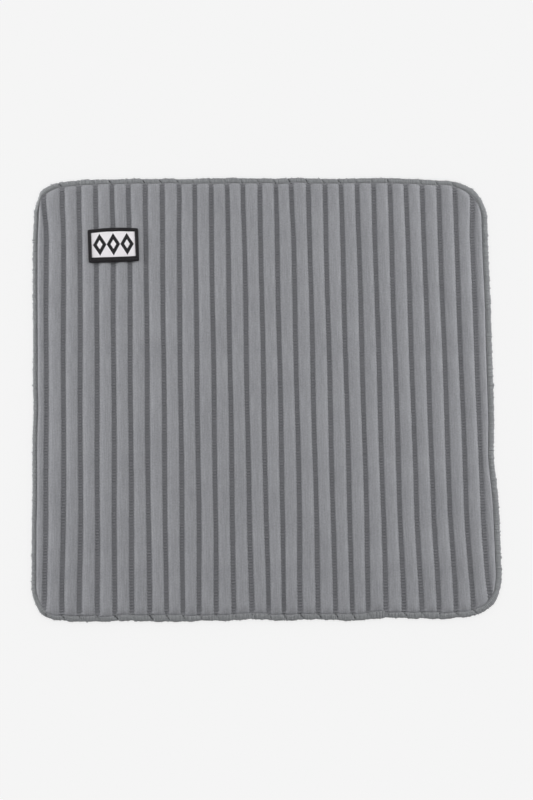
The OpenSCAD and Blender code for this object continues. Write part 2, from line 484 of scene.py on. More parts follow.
def rib_arch(x, depth):
    """Height of the padding, 0 in a groove and 1 on a crown: one minus a power of the distance from the
    rib's middle, under a root. Grooves narrow towards the edge."""
    groove_half = GROOVE_W / 2 * (1 - GROOVE_PINCH * np.exp(-np.maximum(depth, 0) / GROOVE_FADE))
    across = (RIB_PITCH / 2 - np.abs(from_groove(x))) / (RIB_PITCH / 2 - groove_half)
    return (1 - np.clip(across, 0, 1) ** ARCH_POWER) ** (1 / ARCH_ROOT)


def edge_rise(y, depth, band):
    """Share of the padding at a distance from the edge: none on the band, a quick step beside the needle
    line, and then a parabola up to the full height, which is longer towards the lower edge."""
    width = RISE_LOW + (RISE_TOP - RISE_LOW) * rise(y, -EDGE_Y, 2 * EDGE_Y)
    inward = np.maximum(depth - band, 0)
    step = 1 - np.exp(-inward / STEP_W)
    return STEP_SHARE * step + (1 - STEP_SHARE) * (1 - (1 - np.minimum(inward / width, 1)) ** 2)


def pad_half(x, y):
    """Half thickness of the pad: the bare layers, plus the arch times the rise, plus the bulges, less a dip
    at the needle line and in the pleats."""
    depth = edge_depth(x, y)
    band = band_width(x, y)
    dip = NEEDLE_DIP * bump_at(depth, band, NEEDLE_DIP_W) + PLEAT_DIP * pleat(x, y, depth, band)
    padding = (CROWN_HALF - WEB_HALF) * rib_arch(x, depth) * edge_rise(y, depth, band)
    return np.minimum(WEB_HALF + padding + bulge(x, y, depth, band) - dip, CROWN_HALF)


crown = pad_half(np.array(RIB_PITCH / 2), np.array(0.0))
print("half thickness on a crown", round(float(crown) / MM, 2), "mm")

# %% [markdown]
# ## How sewing has pulled the pad
# No row of stitches is quite straight. The overlock has pulled each groove's end a little to one side, most
# of all in the corners, the side edges are a little dented, and between two grooves the edge bows out. Moving
# points by hand would part the pieces, so fabric, seams and overlock all pass through the same small shift.

# %% Pulls along the upper and lower edges: middle, half width and shift in millimetres
TOP_PULLS = ((-213, 13, -2.8), (-160, 55, -1.0), (-82, 13, 1.2), (-16, 10, -0.5), (30, 12, -0.9),
             (213, 12, 2.2))
LOW_PULLS = ((-200, 40, -1.6), (-112, 14, 0.8), (-55, 22, -0.9), (-10, 14, 1.5), (26, 13, -1.8),
             (97, 12, -0.8), (156, 28, 2.2), (208, 32, 2.6))
TOP_PULL_FROM, TOP_PULL_OVER = 155 * MM, 45 * MM
LOW_PULL_FROM, LOW_PULL_OVER = 115 * MM, 95 * MM
SEAM_PULLS = ((213, 14, -0.7),)
GATHER, GATHER_MIDDLE, GATHER_W, GATHER_SHIFT = 0.5 * MM, -40 * MM, 90 * MM, 0.25 * MM
LEFT_SEAM, RIGHT_SEAM, SEAM_FADE = 204 * MM, 213 * MM, 9 * MM
WANDER, WANDER_ALONG, WANDER_ACROSS = 0.22 * MM, 31 * MM, 9 * MM


def dents(x, places):
    """Sum of bell curves, each with its middle, its half width and its depth in millimetres."""
    return sum(depth * MM * bump_at(x, middle * MM, width * MM) for middle, width, depth in places)


def short_of(x, end):
    """1 as far out as the outermost seam at `end`, then fading to 0 at the side edge."""
    return 1 - rise(np.abs(x), end, SEAM_FADE)


def shift_aside(x, y):
    """Sideways shift of the grooves: the pulled ends, which ramp in over the last part of the length, a lean
    of both halves towards the middle, and a slow sine that lets the rows wander."""
    pulled = dents(x, TOP_PULLS) * rise(y, TOP_PULL_FROM, TOP_PULL_OVER)
    pulled = pulled + dents(x, LOW_PULLS) * rise(-y, LOW_PULL_FROM, LOW_PULL_OVER)
    gather = GATHER_SHIFT - GATHER * np.tanh((x - GATHER_MIDDLE) / GATHER_W) + dents(x, SEAM_PULLS)
    seam = np.where(x < 0, LEFT_SEAM, RIGHT_SEAM)
    wander = WANDER * np.sin(y / WANDER_ALONG + x / WANDER_ACROSS)
    return pulled * short_of(x, RIGHT_SEAM) + gather * short_of(x, seam) + wander


# %% Steps and dents of the side edges: start or middle, reach and height in millimetres
LEFT_STEPS, LEFT_DENTS = ((-135, 40, 0.85),), ((-15, 18, 0.8),)
RIGHT_STEPS, RIGHT_DENTS = ((40, 60, 0.6), (120, 60, 0.3), (-80, -40, 0.6)), ((-64, 26, -2.0),)
RIGHT_OUT = 0.8 * MM
SIDE_FADE_FROM, SIDE_FADE_OVER = HALF_W - 16 * MM, 12 * MM


def steps(y, places):
    """Sum of smooth steps, each with its start, its reach and its height in millimetres."""
    return sum(height * MM * rise(y, start * MM, reach * MM) for start, reach, height in places)


def side_dents(x, y):
    """Sideways shift of the two side edges, which fades inwards within the outermost rib."""
    left = steps(y, LEFT_STEPS) + dents(y, LEFT_DENTS)
    right = RIGHT_OUT + steps(y, RIGHT_STEPS) + dents(y, RIGHT_DENTS)
    return np.where(x < 0, left, right) * rise(np.abs(x), SIDE_FADE_FROM, SIDE_FADE_OVER)


# %% Bows, drops and dents of the upper and lower edges
SCALLOP_LOW, SCALLOP_TOP = 0.3 * MM, 0.12 * MM
LOW_DROP, TOP_DROP = 0.8 * MM, 0.4 * MM
LOW_DENTS = ((-94, 28, 1.3), (-15, 13, -0.9), (23, 13, 0.7), (75, 20, 1.5), (118, 13, -0.9), (164, 20, 1.2))
TOP_DENTS = ((-80, 18, 0.8), (-40, 12, 0.6), (15, 9, 0.6), (80, 16, 0.9), (152, 18, -0.6))
LOW_WAVES = sewing.normal(0, 0.5 * MM, RIB_COUNT + 1)
TOP_WAVES = sewing.normal(0, 0.35 * MM, RIB_COUNT + 1)
WAVE_ASIDE = 0.35
EDGE_FADE = 7 * MM
DROOP = 1.8 * MM
DROOP_X, DROOP_X_OVER, DROOP_Y, DROOP_Y_OVER = 110 * MM, 80 * MM, 120 * MM, 100 * MM


def shift_along(x, y):
    """Shift along the ribs: near an edge it bows with the ribs, varies from rib to rib and has its dents, all
    fading inwards, and both upper corners droop."""
    bow = -np.cos(2 * math.pi * x / RIB_PITCH)
    knots = groove_x(np.arange(RIB_COUNT + 1) + WAVE_ASIDE)
    top = SCALLOP_TOP * bow + np.interp(x, knots, TOP_WAVES) - TOP_DROP - dents(x, TOP_DENTS)
    low = SCALLOP_LOW * bow + np.interp(x, knots, LOW_WAVES) + LOW_DROP + dents(x, LOW_DENTS)
    near_top = np.exp(-np.maximum(EDGE_Y - y, 0) / EDGE_FADE)
    near_low = np.exp(-np.maximum(EDGE_Y + y, 0) / EDGE_FADE)
    droop = DROOP * rise(np.abs(x), DROOP_X, DROOP_X_OVER) * rise(y, DROOP_Y, DROOP_Y_OVER)
    return top * near_top - low * near_low - droop


# %% All shifts together; a nudge of a corner has its place, its reach and its shift in millimetres
NUDGES = ((-225, 180, 14, 1.0, 0.0), (-190, 220, 10, 0.0, -1.0), (214, 212, 6, 1.1, 1.1),
          (-193, -220, 9, 0.0, 1.6), (-210, -210, 9, -0.8, -0.9), (213, -205, 14, 1.8, -1.4))


def settle(points):
    """Shift points in the plane of the pad: aside, along, and by the nudges, each a round bell curve."""
    x, y = points[..., 0], points[..., 1]
    aside = shift_aside(x, y) + side_dents(x, y)
    along = shift_along(x, y)
    for at_x, at_y, reach, right, up in NUDGES:
        share = bump_at(x, at_x * MM, reach * MM) * bump_at(y, at_y * MM, reach * MM)
        aside, along = aside + right * MM * share, along + up * MM * share
    return points + np.stack([aside, along, np.zeros_like(x)], -1)


print("corners nudged:", len(NUDGES), "times")

# %% [markdown]
# ## Finishes
# The knit is a plain grey jersey: fine columns of small loops, a soft sheen and a slightly mottled dye.
# Threads show their twist. Images of cloth could give both, but node patterns on a cloth map in metres keep
# their size on every piece. They are node groups, so that each material can use its own scale.


# %% Node helpers
def new_group(name, inputs, outputs):
    """An empty shader node group with the named inputs and outputs; gives it with its two end nodes."""
    group = bpy.data.node_groups.new(name, "ShaderNodeTree")
    for socket, kind, value in inputs:
        made = group.interface.new_socket(socket, in_out="INPUT", socket_type=kind)
        if value is not None:
            made.default_value = value
    for socket, kind in outputs:
        group.interface.new_socket(socket, in_out="OUTPUT", socket_type=kind)
    return group, group.nodes.new("NodeGroupInput"), group.nodes.new("NodeGroupOutput")


def noise_node(tree, vector, scale, detail=2.0):
    """A Noise texture of one scale on a vector; gives its value socket."""
    node = tree.nodes.new("ShaderNodeTexNoise")
    node.inputs["Scale"].default_value = scale
    node.inputs["Detail"].default_value = detail
    tree.links.new(vector, node.inputs["Vector"])
    return node.outputs[0]


def sine_node(tree, value, factor):
    """The sine of a value times a factor."""
    return math_node(tree, "SINE", math_node(tree, "MULTIPLY", value, factor))


def cloth_map(tree):
    """The piece's own cloth map in metres: its vector, and its places across and along."""
    cloth = tree.nodes.new("ShaderNodeUVMap")
    cloth.uv_map = "cloth"
    split = tree.nodes.new("ShaderNodeSeparateXYZ")
    tree.links.new(cloth.outputs[0], split.inputs[0])
    return cloth.outputs[0], split.outputs[0], split.outputs[1]


# %% Group: knit loops
WALE, COURSE = 1.2 * MM, 1.0 * MM
LOOP_V = 0.9
WAVE_BASE, WAVE_GAIN = 1.6, 0.38
STREAK_SCALE, STREAK_STRETCH = 900.0, (1.0, 0.06, 1.0)


def knit_loops_group():
    """Jersey knit on a cloth map in metres. Columns one wale wide hold rows of V-shaped loops: the height is
    the arch of a column times a wave along it, whose phase runs on with the distance from the column's side.
    The streak is a noise drawn out along the columns."""
    group, given, made = new_group("knit_loops", [("Wale", "NodeSocketFloat", WALE),
                                                  ("Course", "NodeSocketFloat", COURSE)],
                                   [("Height", "NodeSocketFloat"), ("Streak", "NodeSocketFloat")])
    cloth, across, along = cloth_map(group)
    column = math_node(group, "DIVIDE", across, given.outputs["Wale"])
    row = math_node(group, "DIVIDE", along, given.outputs["Course"])
    place = math_node(group, "PINGPONG", column, 0.5)
    arch = sine_node(group, place, math.pi)
    phase = math_node(group, "ADD", row, math_node(group, "MULTIPLY", place, LOOP_V))
    wave = math_node(group, "ADD", sine_node(group, phase, 2 * math.pi), WAVE_BASE)
    wave = math_node(group, "MULTIPLY", wave, WAVE_GAIN)
    group.links.new(math_node(group, "MULTIPLY", arch, wave), made.inputs["Height"])
    drawn_out = group.nodes.new("ShaderNodeMapping")
    drawn_out.inputs["Scale"].default_value = STREAK_STRETCH
    group.links.new(cloth, drawn_out.inputs[0])
    group.links.new(noise_node(group, drawn_out.outputs[0], STREAK_SCALE), made.inputs["Streak"])
    return group


KNIT_LOOPS = knit_loops_group()

# %% Group: mottled dye
FINE_SCALE, COARSE_SCALE = 700.0, 24.0
FINE_SHARE, COARSE_SHARE, STREAK_SHARE = 0.38, 0.22, 0.4
MIX_A, MIX_B, MIX_RESULT = 6, 7, 2  # a Mix node has sockets for each kind of value; these are its colours


def mottled_dye_group():
    """Two depths of the same colour, mixed by a fine and a coarse noise in Object coordinates and by the
    streaks of a knit, each with its share."""
    group, given, made = new_group("mottled_dye", [("Light", "NodeSocketColor", None),
                                                   ("Dark", "NodeSocketColor", None),
                                                   ("Streak", "NodeSocketFloat", 0.5)],
                                   [("Color", "NodeSocketColor")])
    place = group.nodes.new("ShaderNodeTexCoord").outputs["Object"]
    fine = math_node(group, "MULTIPLY", noise_node(group, place, FINE_SCALE), FINE_SHARE)
    coarse = math_node(group, "MULTIPLY", noise_node(group, place, COARSE_SCALE), COARSE_SHARE)
    streak = math_node(group, "MULTIPLY", given.outputs["Streak"], STREAK_SHARE)
    blend = math_node(group, "ADD", math_node(group, "ADD", fine, coarse), streak)
    mix = group.nodes.new("ShaderNodeMix")
    mix.data_type = "RGBA"
    group.links.new(blend, mix.inputs["Factor"])
    group.links.new(given.outputs["Dark"], mix.inputs[MIX_A])
    group.links.new(given.outputs["Light"], mix.inputs[MIX_B])
    group.links.new(mix.outputs[MIX_RESULT], made.inputs["Color"])
    return group


MOTTLED_DYE = mottled_dye_group()


# %% Group: thread twist
def thread_twist_group():
    """Slanting bands round a thread: a sine of the length along it plus the turn round it."""
    group, given, made = new_group("thread_twist", [("Lay", "NodeSocketFloat", 1.1 * MM)],
                                   [("Height", "NodeSocketFloat")])
    _, across, along = cloth_map(group)
    turns = math_node(group, "DIVIDE", along, given.outputs["Lay"])
    phase = math_node(group, "ADD", turns, math_node(group, "DIVIDE", across, MM))
    group.links.new(sine_node(group, phase, 2 * math.pi), made.inputs["Height"])
    return group


THREAD_TWIST = thread_twist_group()
print("groups:", [group.name for group in bpy.data.node_groups])

# %% Dyed materials
SHEEN_ROUGHNESS = 0.5
SPECULAR = 0.2


def shade(red, green, blue):
    """Linear colour, with alpha, from the 0 to 255 values of a screen colour."""
    screen = np.array([red, green, blue]) / 255
    linear = np.where(screen <= 0.04045, screen / 12.92, ((screen + 0.055) / 1.055) ** 2.4)
    return (*linear.tolist(), 1.0)


def add_group(tree, group, **values):
    """Place a node group in a material and set its inputs."""
    node = tree.nodes.new("ShaderNodeGroup")
    node.node_tree = group
    for name, value in values.items():
        node.inputs[name].default_value = value
    return node


def dyed_material(name, light, dark, roughness, sheen):
    """A Principled shader with the mottled dye between two colours; gives material, tree, shader and dye."""
    material = bpy.data.materials.new(name)
    material.use_nodes = True
    tree = material.node_tree
    shader = tree.nodes["Principled BSDF"]
    shader.inputs["Roughness"].default_value = roughness
    shader.inputs["Sheen Weight"].default_value = sheen
    shader.inputs["Sheen Roughness"].default_value = SHEEN_ROUGHNESS
    shader.inputs["Specular IOR Level"].default_value = SPECULAR
    dye = add_group(tree, MOTTLED_DYE, Light=light, Dark=dark)
    tree.links.new(dye.outputs["Color"], shader.inputs["Base Color"])
    return material, tree, shader, dye


def add_relief(tree, shader, relief, distance, strength):
    """Lead the Height of a placed group through a bump into the shader's normal."""
    bump = tree.nodes.new("ShaderNodeBump")
    bump.inputs["Distance"].default_value = distance
    bump.inputs["Strength"].default_value = strength
    tree.links.new(relief.outputs["Height"], bump.inputs["Height"])
    tree.links.new(bump.outputs[0], shader.inputs["Normal"])


# %% Materials of cloth and thread
KNIT_RELIEF, THREAD_RELIEF = (0.12 * MM, 0.6), (0.08 * MM, 0.6)


def knit_material(name, light, dark):
    """Mottled jersey knit between two colours, whose streaks also change the dye."""
    material, tree, shader, dye = dyed_material(name, light, dark, roughness=0.9, sheen=0.15)
    loops = add_group(tree, KNIT_LOOPS)
    tree.links.new(loops.outputs["Streak"], dye.inputs["Streak"])
    add_relief(tree, shader, loops, *KNIT_RELIEF)
    return material


def thread_material(name, light, dark, lay):
    """Twisted thread between two colours."""
    material, tree, shader, _ = dyed_material(name, light, dark, roughness=0.75, sheen=0.1)
    add_relief(tree, shader, add_group(tree, THREAD_TWIST, Lay=lay), *THREAD_RELIEF)
    return material


KNIT = knit_material("grey_knit", shade(175, 176, 180), shade(92, 93, 97))
FOAM = knit_material("filler_foam", shade(226, 224, 216), shade(206, 203, 194))
SEAM_THREAD = thread_material("seam_thread", shade(137, 138, 142), shade(121, 122, 126), 1.1 * MM)
# The tails' thread is the seam thread made darker: painted shade for the shadow in the pleats where the tails
# lie.
PLEAT_SHADE_THREAD = thread_material("tail_thread", shade(98, 99, 102), shade(84, 85, 88), 1.1 * MM)
NEEDLE_THREAD = thread_material("needle_thread", shade(158, 159, 162), shade(140, 141, 144), 1.0 * MM)
OVERLOCK_THREAD = thread_material("overlock_thread", shade(157, 159, 161), shade(135, 137, 139), 1.2 * MM)
print("materials:", [material.name for material in bpy.data.materials])

# %% [markdown]
# ## Quilted covers
# A region's cover is the face and the back of the quilting, closed at its cuts and at the rim. An even grid
# would do, but its columns lie at equal lengths along the arch, so that the steep flanks get as many points
# as they need, and its rows are closer near both ends. The cloth map is in metres along the fabric, so the
# knit bends with it.

# %% Cover grid
COLUMNS_A_RIB, FINE_STEPS_A_RIB = 26, 400
END_ZONE = 16 * MM
END_ROWS, MIDDLE_ROWS = 40, 110


def region_span(region):
    """Left and right ends of a region: the grooves beside its outer ribs, or the edge of the pad."""
    first, last = region["ribs"]
    return max(groove_x(first - 1), -EDGE_X), min(groove_x(last), EDGE_X)


def rib_columns(region):
    """Places across a region at equal steps along the arch, which is laid out finely, measured and cut."""
    left, right = region_span(region)
    first, last = region["ribs"]
    ribs = last - first + 1
    x = np.linspace(left, right, FINE_STEPS_A_RIB * ribs)
    z = pad_half(x, np.zeros_like(x))
    run = np.concatenate([[0], np.cumsum(np.hypot(np.diff(x), np.diff(z)))])
    at = np.linspace(0, run[-1], COLUMNS_A_RIB * ribs + 1)
    return np.interp(at, run, x), at


def pad_rows():
    """Shares along the pad from 0 to 1: close together at both ends, where the rim is, and wider between."""
    end = END_ZONE / (2 * EDGE_Y)
    return np.concatenate([np.linspace(0, end, END_ROWS, endpoint=False),
                           np.linspace(end, 1 - end, MIDDLE_ROWS, endpoint=False),
                           np.linspace(1 - end, 1, END_ROWS + 1)])


def face_and_back(x, y, half):
    """Shell of points at the middle height plus and minus a half thickness."""
    return there_and_back(np.stack([x, y, MID_Z + half], -1), np.stack([x, y, MID_Z - half], -1))


def cover_shell(region):
    """Points, faces and texture places of a cover: the rows run from the lower to the upper edge."""
    x, run = rib_columns(region)
    share = pad_rows()[:, None]
    y = edge_y(x, -1) * (1 - share) + edge_y(x, 1) * share
    x, run = np.broadcast_to(x, y.shape), np.broadcast_to(run, y.shape)
    cloth = np.stack([run, y], -1)
    points = face_and_back(x, y, pad_half(x, y))
    return settle(points), shell_faces(*y.shape), there_and_back(cloth, cloth)


# %% Make the covers
CREASE = math.radians(60)

for region in REGIONS:
    cover = put_mesh(f"cover_{region['name']}", KNIT, *cover_shell(region), CREASE)
    attach(cover, region, "knit", "face_knit", "back_knit")
print("covers:", len(REGIONS), "of about", 2 * len(cover.data.polygons), "triangles")

# %% [markdown]
# ## Padding strips
# Each channel holds one strip of soft padding. It isn't seen, but a cut-open pad would show it. A box would
# poke through the rib, so it is made as the same arch a little smaller, and it is fixed in place with its
# cover's region.

# %% Make the strips
STRIP_PLAY = 0.5 * MM
STRIP_LEAST = 0.2 * MM
STRIP_COLUMNS, STRIP_ROWS = 13, 60


def strip_shell(rib):
    """One strip: the cover's half thickness less the knit, between the flanks of one rib."""
    left = max(groove_x(rib - 1) + GROOVE_W / 2, -EDGE_X + BAND_LEFT) + 2 * STRIP_PLAY
    right = min(groove_x(rib) - GROOVE_W / 2, EDGE_X - BAND_RIGHT) - 2 * STRIP_PLAY
    x = np.linspace(left, right, STRIP_COLUMNS)
    share = np.linspace(0, 1, STRIP_ROWS)[:, None]
    inset = BAND_LOW + 2 * STRIP_PLAY
    y = (edge_y(x, -1) + inset) * (1 - share) + (edge_y(x, 1) - inset) * share
    x = np.broadcast_to(x, y.shape)
    points = face_and_back(x, y, np.maximum(pad_half(x, y) - 2 * STRIP_PLAY, STRIP_LEAST))
    return settle(points), shell_faces(STRIP_ROWS, STRIP_COLUMNS), points[..., :2]


for region in REGIONS:
    first, last = region["ribs"]
    lot = joined(*[strip_shell(rib) for rib in range(first, last + 1)])
    strips = put_mesh(f"padding_{region['name']}", FOAM, *lot, CREASE)
    attach(strips, region, "filler_foam", "filler_strips")
print("padding strips:", RIB_COUNT)

# %% [markdown]
# ## Ladder seams
# In each groove a row of darker thread holds the two layers together: two rails along the groove and short
# rungs across. A painted pattern would lie flat, so the threads are tubes. A rung is three flattened strands
# side by side, the middle one longer and higher, and a rail is a thin tube that rises at each rung and dips
# between rungs. At both ends of a groove a tail of thread runs out through the pleat. The tail is coloured
# darker than the seam thread as painted shade for the shadow in the pleat.

# %% Rungs and rails of one groove
RUNG_PITCH = 2.86 * MM
STRANDS_A_RUNG = 3
STRAND_RADIUS, STRAND_FLAT, STRAND_TAPER = 0.62 * MM, 0.42, 0.3
STRAND_SLANT, STRAND_UNEVEN = 0.2 * MM, 0.04 * MM
STRAND_POINTS, STRAND_SIDES = 5, 4
SIDE_HALF, SIDE_UP = 1.95 * MM, 0.05 * MM
MIDDLE_HALF, MIDDLE_UP = 2.6 * MM, 0.31 * MM
RAIL_RADIUS, RAIL_SIDES = 0.3 * MM, 3
RAIL_HALF, RAIL_UP, RAIL_DIP = 1.2 * MM, 0.08 * MM, 0.2 * MM


def pad_point(x, y, up, proud):
    """Points on the face (up 1) or the back (up -1) of the quilting, standing proud of it."""
    x, y = np.broadcast_arrays(x, y)
    return np.stack([x, y, MID_Z + up * (pad_half(x, y) + proud)], -1)


def ladder(number, up):
    """Rungs and rails of one groove on the face (up 1) or the back (up -1), from rim to rim: strands at equal
    steps with a small random shift, and two rails whose height is a cosine of one turn a rung."""
    x = groove_x(number)
    low = float(edge_y(np.array(x), -1)) + BAND_LOW
    high = float(edge_y(np.array(x), 1)) - BAND_TOP
    count = int((high - low) / RUNG_PITCH)
    strand = np.arange(STRANDS_A_RUNG * count)[:, None]
    at = low + (strand + 0.5) * (high - low) / len(strand) + sewing.normal(0, STRAND_UNEVEN, strand.shape)
    middle = strand % STRANDS_A_RUNG == STRANDS_A_RUNG // 2
    across = np.linspace(-1, 1, STRAND_POINTS)
    strands = pad_point(x + np.where(middle, MIDDLE_HALF, SIDE_HALF) * across, at + STRAND_SLANT * across, up,
                        np.where(middle, MIDDLE_UP, SIDE_UP))
    step = np.arange(2 * count + 1)
    rail_y = low + (high - low) * step / (2 * count)
    rails = pad_point(x + np.array([[-1], [1]]) * RAIL_HALF, rail_y, up, RAIL_UP)
    rails[..., 2] -= up * RAIL_DIP * np.cos(math.pi * step)
    radius = STRAND_RADIUS * (1 - STRAND_TAPER * across**2)
    return joined(thread_tubes(settle(strands), ALONG_Y, radius, STRAND_SIDES, STRAND_FLAT),
                  thread_tubes(settle(rails), ALONG_X, RAIL_RADIUS, RAIL_SIDES))


# %% Tails of one groove
TAIL_RADIUS, TAIL_FLAT = 0.9 * MM, 0.4
TAIL_UP, TAIL_START, TAIL_END = 0.5 * MM, -0.2, 0.95
TAIL_POINTS, TAIL_SIDES = 7, 6


def pleat_tails(number, up):
    """The two ends of a groove's thread, which run out through the pleats in the band and sink in at the
    edge: the height falls with the cube of the way across the band."""
    share = np.linspace(TAIL_START, TAIL_END, TAIL_POINTS)
    way = np.clip(share, 0, 1)
    tails = []
    for side, band, lean in ((1, BAND_TOP, PLEAT_LEAN_TOP), (-1, BAND_LOW, PLEAT_LEAN_LOW)):
        x = groove_x(number) + lean * way
        y = edge_y(x, side) - side * band * (1 - share)
        tails.append(np.stack([x, y, MID_Z + up * TAIL_UP * (1 - way**3)], -1))
    return thread_tubes(settle(np.array(tails)), ALONG_X, TAIL_RADIUS, TAIL_SIDES, TAIL_FLAT)


# %% Make the ladder seams
def region_grooves(region):
    """Grooves whose thread moves with a region: the fold itself, or all those of a stiff stretch."""
    first, last = region["ribs"]
    if "bend" in region:
        return [first]
    return [number for number in range(first - 1, last + 1) if 0 < number < RIB_COUNT]


# The tails take the darker thread, which is painted shade for the pleats.
SEAM_KINDS = (("ladder", ladder, SEAM_THREAD), ("seam_tails", pleat_tails, PLEAT_SHADE_THREAD))
for region in REGIONS:
    for kind, sewn, thread in SEAM_KINDS:
        lot = joined(*[sewn(number, up) for number in region_grooves(region) for up in (1, -1)])
        seams = put_mesh(f"{kind}_{region['name']}", thread, *lot)
        attach(seams, region, "seam_thread", "quilt_seams")
print("ladder seams in", RIB_COUNT - 1, "grooves")

# %% [markdown]
# ## Overlocked edge
# Overlock thread goes round the rim in hundreds of loops, from the needle line on the face over the edge to
# the needle line on the back. One loop could be repeated along a curve, but then all would be alike. Here a
# loop is a squared-off arc, and all loops are worked out together along the outline, each with its own lean,
# reach and thickness. A row of short needle stitches lies in the crease inside it.


# %% Directions and arcs along an edge
def along_edge(out):
    """Directions along an edge: the outward directions, turned by a quarter."""
    return np.stack([out[:, 1], -out[:, 0]], -1)


def in_plane(direction):
    """Flat directions, one for each path, as directions in space."""
    return np.concatenate([direction, np.zeros((len(direction), 1))], -1)[:, None]


def at_height(flat, height):
    """Flat places and their heights as points."""
    return np.concatenate([flat, np.broadcast_to(height, flat.shape[:-1])[..., None]], -1)


def squared_arc(turn, power):
    """A squared-off half circle: the sine and the cosine, each to a power below 1 and with its own sign."""
    return np.abs(np.sin(turn)) ** power, np.sign(np.cos(turn)) * np.abs(np.cos(turn)) ** power


# %% Loops round the rim
BAND_HALF_T = 1.35 * MM
LOOP_PITCH = 1.3 * MM
LOOP_RADIUS = (0.5 * MM, 0.72 * MM)
LOOP_POINTS, LOOP_SIDES = 10, 5
LOOP_SQUARE, LOOP_START = 0.7, 0.02
LOOP_LEAN, LOOP_SWAY = 0.9 * MM, 0.1 * MM
LOOP_UNEVEN = 0.42 * MM


def overlock_loops():
    """Paths of the loops, with the directions along the edge: depth is the band's width less a power of the
    sine, height is a power of the cosine, and the loop leans along the edge as it goes round."""
    point, out = outline_walk(LOOP_PITCH)
    along = along_edge(out)
    band = band_width(point[:, 0], point[:, 1])[:, None]
    turn = np.linspace(LOOP_START, math.pi - LOOP_START, LOOP_POINTS)
    sine, cosine = squared_arc(turn, LOOP_SQUARE)
    lean = LOOP_LEAN * turn / math.pi + sewing.normal(0, LOOP_SWAY, (len(point), 1))
    reach = np.abs(np.random.default_rng(9).normal(0, LOOP_UNEVEN, (len(point), 1)))
    depth = band * (1 - sine) - reach * np.sin(turn)
    flat = point[:, None] - out[:, None] * depth[..., None] + along[:, None] * lean[..., None]
    folded = pleat(flat[..., 0], flat[..., 1], depth, np.broadcast_to(band, depth.shape))
    height = BAND_HALF_T * cosine * (1 - np.minimum(folded, 1))
    return settle(at_height(flat, MID_Z + height)), in_plane(along)


# %% Needle stitches
NEEDLE_PITCH, NEEDLE_LENGTH, NEEDLE_RADIUS = 3.2 * MM, 3.1 * MM, 0.4 * MM
NEEDLE_UP, NEEDLE_BOW = 0.05 * MM, 0.25 * MM
STITCH_POINTS, STITCH_SIDES = 5, 5


def straight_stitches(point, out, length):
    """Flat places of short straight stitches along an edge, and how far each place is lifted: 1 in the middle
    of a stitch and 0 at its ends, by a fourth power."""
    share = np.linspace(-0.5, 0.5, STITCH_POINTS)
    flat = point[:, None] + along_edge(out)[:, None] * (share * length)[:, None]
    return flat, 1 - (2 * share) ** 4


def needle_stitches():
    """Short stitches in the crease on face and back, along the outline moved in by the band."""
    point, out = outline_walk(NEEDLE_PITCH)
    inner = point - out * band_width(point[:, 0], point[:, 1])[:, None]
    flat, lift = straight_stitches(inner, out, NEEDLE_LENGTH)
    height = WEB_HALF - NEEDLE_DIP + NEEDLE_UP + NEEDLE_BOW * lift
    paths = np.concatenate([at_height(flat, MID_Z + up * height) for up in (1, -1)])
    return settle(paths), in_plane(np.concatenate([out, out]))


# %% Make the overlock, region by region
FAR_OUT = 1.0
loop_paths, loop_across = overlock_loops()
loop_radius = sewing.uniform(*LOOP_RADIUS, (len(loop_paths), 1))
stitch_paths, stitch_across = needle_stitches()


def within(paths, region):
    """Which paths have their middle between the two ends of a region; the outer regions take all beyond."""
    left, right = region_span(region)
    left = -FAR_OUT if left <= -EDGE_X else left
    right = FAR_OUT if right >= EDGE_X else right
    middle = paths[:, paths.shape[1] // 2, 0]
    return (middle >= left) & (middle < right)


for region in REGIONS:
    chosen = within(loop_paths, region)
    lot = thread_tubes(loop_paths[chosen], loop_across[chosen], loop_radius[chosen], LOOP_SIDES)
    overlock = put_mesh(f"overlock_{region['name']}", OVERLOCK_THREAD, *lot)
    attach(overlock, region, "overlock_thread", "edge_overlock")
    chosen = within(stitch_paths, region)
    lot = thread_tubes(stitch_paths[chosen], stitch_across[chosen], NEEDLE_RADIUS, STITCH_SIDES)
    stitches = put_mesh(f"needle_line_{region['name']}", NEEDLE_THREAD, *lot)
    attach(stitches, region, "overlock_thread", "edge_overlock")
print("overlock:", len(loop_paths), "loops,", len(stitch_paths), "needle stitches")

# %% [markdown]
# ## Woven label
# A small woven label is sewn on near one corner. It lies over four ribs and sags slightly between them, its
# upper edge bows, and thick black thread is worked round its edge. Its ground is black, with a white field
# and three plain lozenges woven in. An image could draw them, but a woven figure stands up a little, so each
# is a low plate of its own.

# %% Lie of the label
LABEL_MID = (LABEL_LOW + LABEL_HIGH) / 2
LABEL_HALF_X, LABEL_HALF_Y = (LABEL_HIGH.x - LABEL_LOW.x) / 2, (LABEL_HIGH.y - LABEL_LOW.y) / 2
LABEL_T = LABEL_HIGH.z - LABEL_LOW.z
LABEL_SAG = 0.45 * MM
LABEL_TURN = math.radians(1.9)
LABEL_BOW_TOP, LABEL_BOW_LOW, LABEL_BOW_SHARE = 1.4 * MM, -0.5 * MM, 0.6


def label_place(across, along, height):
    """Points of the label from its own flat measures: turned a little, the upper edge bowed by a parabola,
    and sagging in z where a groove lies below, by a fourth power of a cosine."""
    share = along / LABEL_HALF_Y / 2 + 0.5
    bow = LABEL_BOW_LOW + (LABEL_BOW_TOP - LABEL_BOW_LOW) * share
    bow = bow * (LABEL_BOW_SHARE - (across / LABEL_HALF_X) ** 2)
    x = LABEL_MID.x + across - math.sin(LABEL_TURN) * along
    y = LABEL_MID.y + along + math.sin(LABEL_TURN) * across + bow
    sag = LABEL_SAG * np.cos(math.pi * x / RIB_PITCH) ** 4
    return np.stack(np.broadcast_arrays(x, y, LABEL_LOW.z + height - sag), -1)


